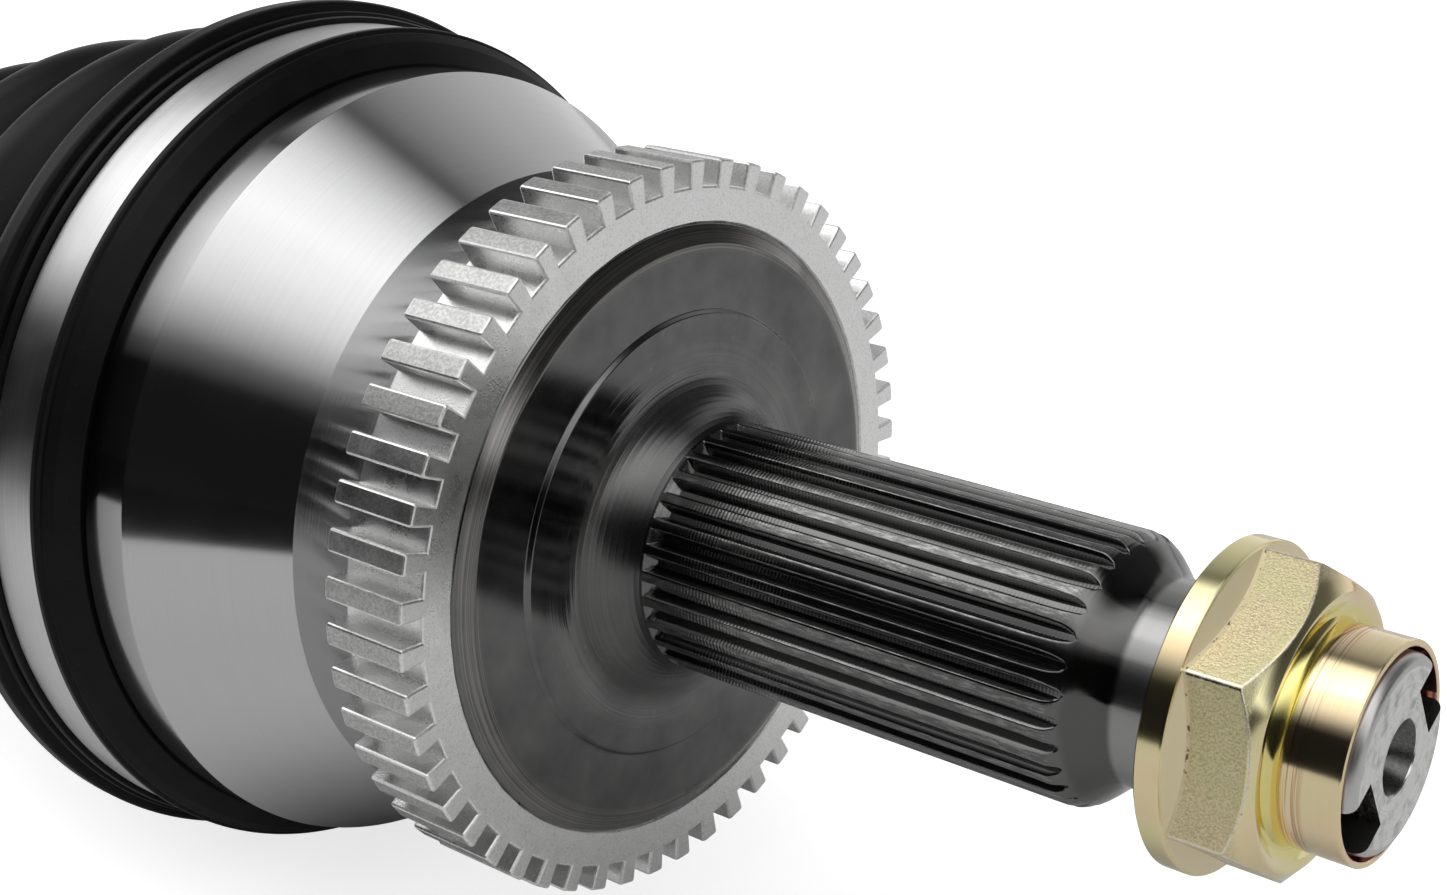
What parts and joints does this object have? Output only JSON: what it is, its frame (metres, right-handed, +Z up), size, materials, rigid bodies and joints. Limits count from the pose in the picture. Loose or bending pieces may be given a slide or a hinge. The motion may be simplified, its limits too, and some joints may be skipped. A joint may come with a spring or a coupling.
{
  "type": "cv axle shaft",
  "caption": "Driveshaft with a fixed ball joint at the splined hub end and a plunging tripod joint at the gearbox end.",
  "frame": {"origin": "on the axle's axis, in the plane of the raised hub seat at the root of the splined stub", "axes": "+X along the axle towards the nut end, +Z up, +Y to the side; the joints bend about Z"},
  "size_m": [0.6808, 0.1214, 0.1214],
  "materials": {
    "black_oxide_steel": "black oxide, semi-gloss",
    "turned_steel": "turned and polished",
    "zinc_ring": "bright zinc, grainy",
    "yellow_zinc": "yellow zinc, iridescent",
    "ground_steel": "ground and polished",
    "phosphated_steel": "phosphated, matt",
    "boot_rubber": "moulded, satin",
    "clamp_steel": "stainless band",
    "bar_paint": "black paint",
    "spring_steel": "oiled spring steel"
  },
  "bodies": {
    "outer_joint": {"outer_housing": "black_oxide_steel", "tone_ring": "zinc_ring", "outer_boot": "boot_rubber", "outer_boot_large_clamp": "clamp_steel"},
    "nut": {"hub_nut": "yellow_zinc"},
    "cage": {"ball_cage": "phosphated_steel"},
    "ball_1": {"ball_1": "ground_steel"},
    "ball_2": {"ball_2": "ground_steel"},
    "ball_3": {"ball_3": "ground_steel"},
    "ball_4": {"ball_4": "ground_steel"},
    "ball_5": {"ball_5": "ground_steel"},
    "ball_6": {"ball_6": "ground_steel"},
    "bar": {"axle_bar": "bar_paint", "inner_race": "ground_steel", "race_circlip": "spring_steel", "race_stop_ring": "spring_steel", "outer_boot_small_clamp": "clamp_steel", "inner_boot_small_clamp": "clamp_steel", "spider": "phosphated_steel", "spider_circlip": "spring_steel", "roller_retainers": "turned_steel", "roller_clips": "spring_steel"},
    "roller_1": {"roller_1": "ground_steel", "needles_1": "ground_steel"},
    "roller_2": {"roller_2": "ground_steel", "needles_2": "ground_steel"},
    "roller_3": {"roller_3": "ground_steel", "needles_3": "ground_steel"},
    "inner_boot": {"inner_boot": "boot_rubber"},
    "inner_joint": {"tripod_housing": "black_oxide_steel", "inner_boot_large_clamp": "clamp_steel", "housing_ring": "spring_steel", "stub_circlip": "spring_steel"}
  },
  "joints": [
    {"name": "hub_nut_travel", "type": "slide", "parent": "outer_joint", "child": "nut", "axis": [1, 0, 0], "range_m": [0, 0.024]},
    {"name": "outer_bend", "type": "hinge", "parent": "outer_joint", "child": "bar", "pos_m": [-0.049, 0, 0], "axis": [0, 0, 1], "range_deg": [-42, 42], "deforming": ["outer_boot"]},
    {"name": "cage_tilt", "type": "hinge", "parent": "outer_joint", "child": "cage", "pos_m": [-0.049, 0, 0], "axis": [0, 0, 1], "range_deg": [-22, 22]},
    {"name": "ball_1_roll", "type": "hinge", "parent": "outer_joint", "child": "ball_1", "pos_m": [-0.0525, 0, 0], "axis": [0, 0, 1], "range_deg": [-22, 22]},
    {"name": "ball_2_roll", "type": "hinge", "parent": "outer_joint", "child": "ball_2", "pos_m": [-0.0525, 0, 0], "axis": [0, -0.866, 0.5], "range_deg": [-12, 12]},
    {"name": "ball_3_roll", "type": "hinge", "parent": "outer_joint", "child": "ball_3", "pos_m": [-0.0525, 0, 0], "axis": [0, -0.866, -0.5], "range_deg": [-12, 12]},
    {"name": "ball_4_roll", "type": "hinge", "parent": "outer_joint", "child": "ball_4", "pos_m": [-0.0525, 0, 0], "axis": [0, 0, -1], "range_deg": [-22, 22]},
    {"name": "ball_5_roll", "type": "hinge", "parent": "outer_joint", "child": "ball_5", "pos_m": [-0.0525, 0, 0], "axis": [0, 0.866, -0.5], "range_deg": [-12, 12]},
    {"name": "ball_6_roll", "type": "hinge", "parent": "outer_joint", "child": "ball_6", "pos_m": [-0.0525, 0, 0], "axis": [0, 0.866, 0.5], "range_deg": [-12, 12]},
    {"name": "inner_bend", "type": "hinge", "parent": "bar", "child": "inner_boot", "pos_m": [-0.459, 0, 0], "axis": [0, 0, 1], "range_deg": [-18, 18], "deforming": ["inner_boot"]},
    {"name": "plunge", "type": "slide", "parent": "inner_boot", "child": "inner_joint", "axis": [1, 0, 0], "range_m": [-0.015, 0.015], "deforming": ["inner_boot"]},
    {"name": "roller_1_spin", "type": "hinge", "parent": "bar", "child": "roller_1", "pos_m": [-0.459, 0, 0], "axis": [0, 0, 1], "range_deg": [-60, 60]},
    {"name": "roller_2_spin", "type": "hinge", "parent": "bar", "child": "roller_2", "pos_m": [-0.459, 0, 0], "axis": [0, -0.866, -0.5], "range_deg": [-60, 60]},
    {"name": "roller_3_spin", "type": "hinge", "parent": "bar", "child": "roller_3", "pos_m": [-0.459, 0, 0], "axis": [0, 0.866, -0.5], "range_deg": [-60, 60]}
  ],
  "couplings": [
    {"joint": "cage_tilt", "follows": "outer_bend", "ratio": 0.5},
    {"joint": "ball_1_roll", "follows": "outer_bend", "ratio": 0.5},
    {"joint": "ball_2_roll", "follows": "outer_bend", "ratio": 0.258},
    {"joint": "ball_3_roll", "follows": "outer_bend", "ratio": -0.258},
    {"joint": "ball_4_roll", "follows": "outer_bend", "ratio": -0.5},
    {"joint": "ball_5_roll", "follows": "outer_bend", "ratio": -0.258},
    {"joint": "ball_6_roll", "follows": "outer_bend", "ratio": 0.258},
    {"joint": "roller_1_spin", "follows": "plunge", "rad_per_m": 62.5},
    {"joint": "roller_2_spin", "follows": "plunge", "rad_per_m": 62.5},
    {"joint": "roller_3_spin", "follows": "plunge", "rad_per_m": 62.5}
  ]
}
